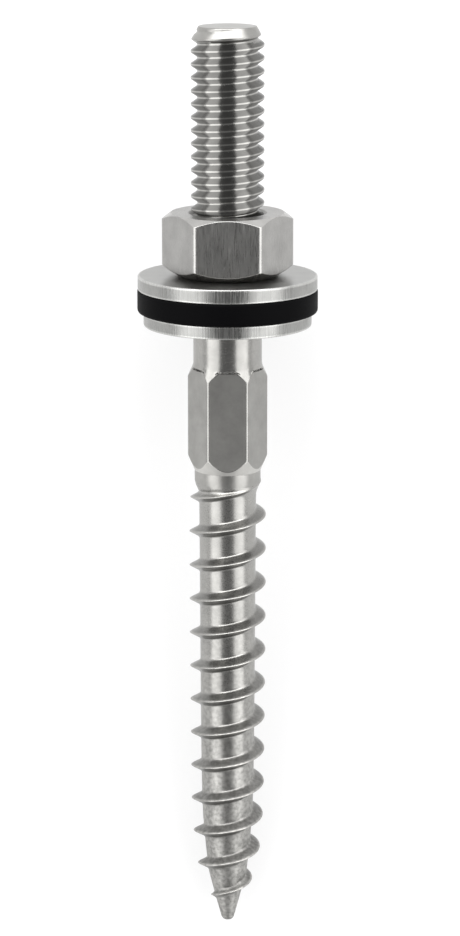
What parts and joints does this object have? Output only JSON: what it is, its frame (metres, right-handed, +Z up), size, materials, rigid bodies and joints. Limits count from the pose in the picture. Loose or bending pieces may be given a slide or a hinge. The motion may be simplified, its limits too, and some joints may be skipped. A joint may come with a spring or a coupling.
{
  "type": "hanger bolt",
  "caption": "Hanger bolt with a pointed wood-screw thread, a hexagon to drive it by and a machine-threaded stud carrying a hex nut, flat washers and a rubber seal.",
  "frame": {"origin": "centre of the footprint on the ground plane, with the bolt lying at rest on the rim of its seal and a crest of its wood thread", "axes": "+Y along the bolt's length from the point to the stud's end, which is raised by 5.7 degrees; +Z up; the side seen in the picture is up"},
  "size_m": [0.0196, 0.1004, 0.0198],
  "materials": {
    "bolt_steel": "rolled threads and turned shank in stainless steel, bright with a fine grain",
    "washer_steel": "pressed stainless steel washers with finely scored rims",
    "nut_steel": "stainless steel nut, its flats brushed along the axis",
    "seal_rubber": "matte black rubber"
  },
  "bodies": {
    "bolt": {"hanger_bolt": "bolt_steel"},
    "washer_stack": {"lower_washer": "washer_steel", "rubber_seal": "seal_rubber", "upper_washer": "washer_steel"},
    "nut": {"hex_nut": "nut_steel"}
  },
  "joints": [
    {"name": "stack_slide", "type": "slide", "parent": "bolt", "child": "washer_stack", "axis": [0, 0.995, 0.0999], "range_m": [-0.003, 0.0199]},
    {"name": "nut_turn", "type": "hinge", "parent": "washer_stack", "child": "nut", "pos_m": [0, 0.02669, 0.01047], "axis": [0, 0.995, 0.0999], "range_deg": [-766, 5078]}
  ],
  "couplings": [
    {"joint": "nut_turn", "follows": "stack_slide", "rad_per_m": 4452.7}
  ]
}
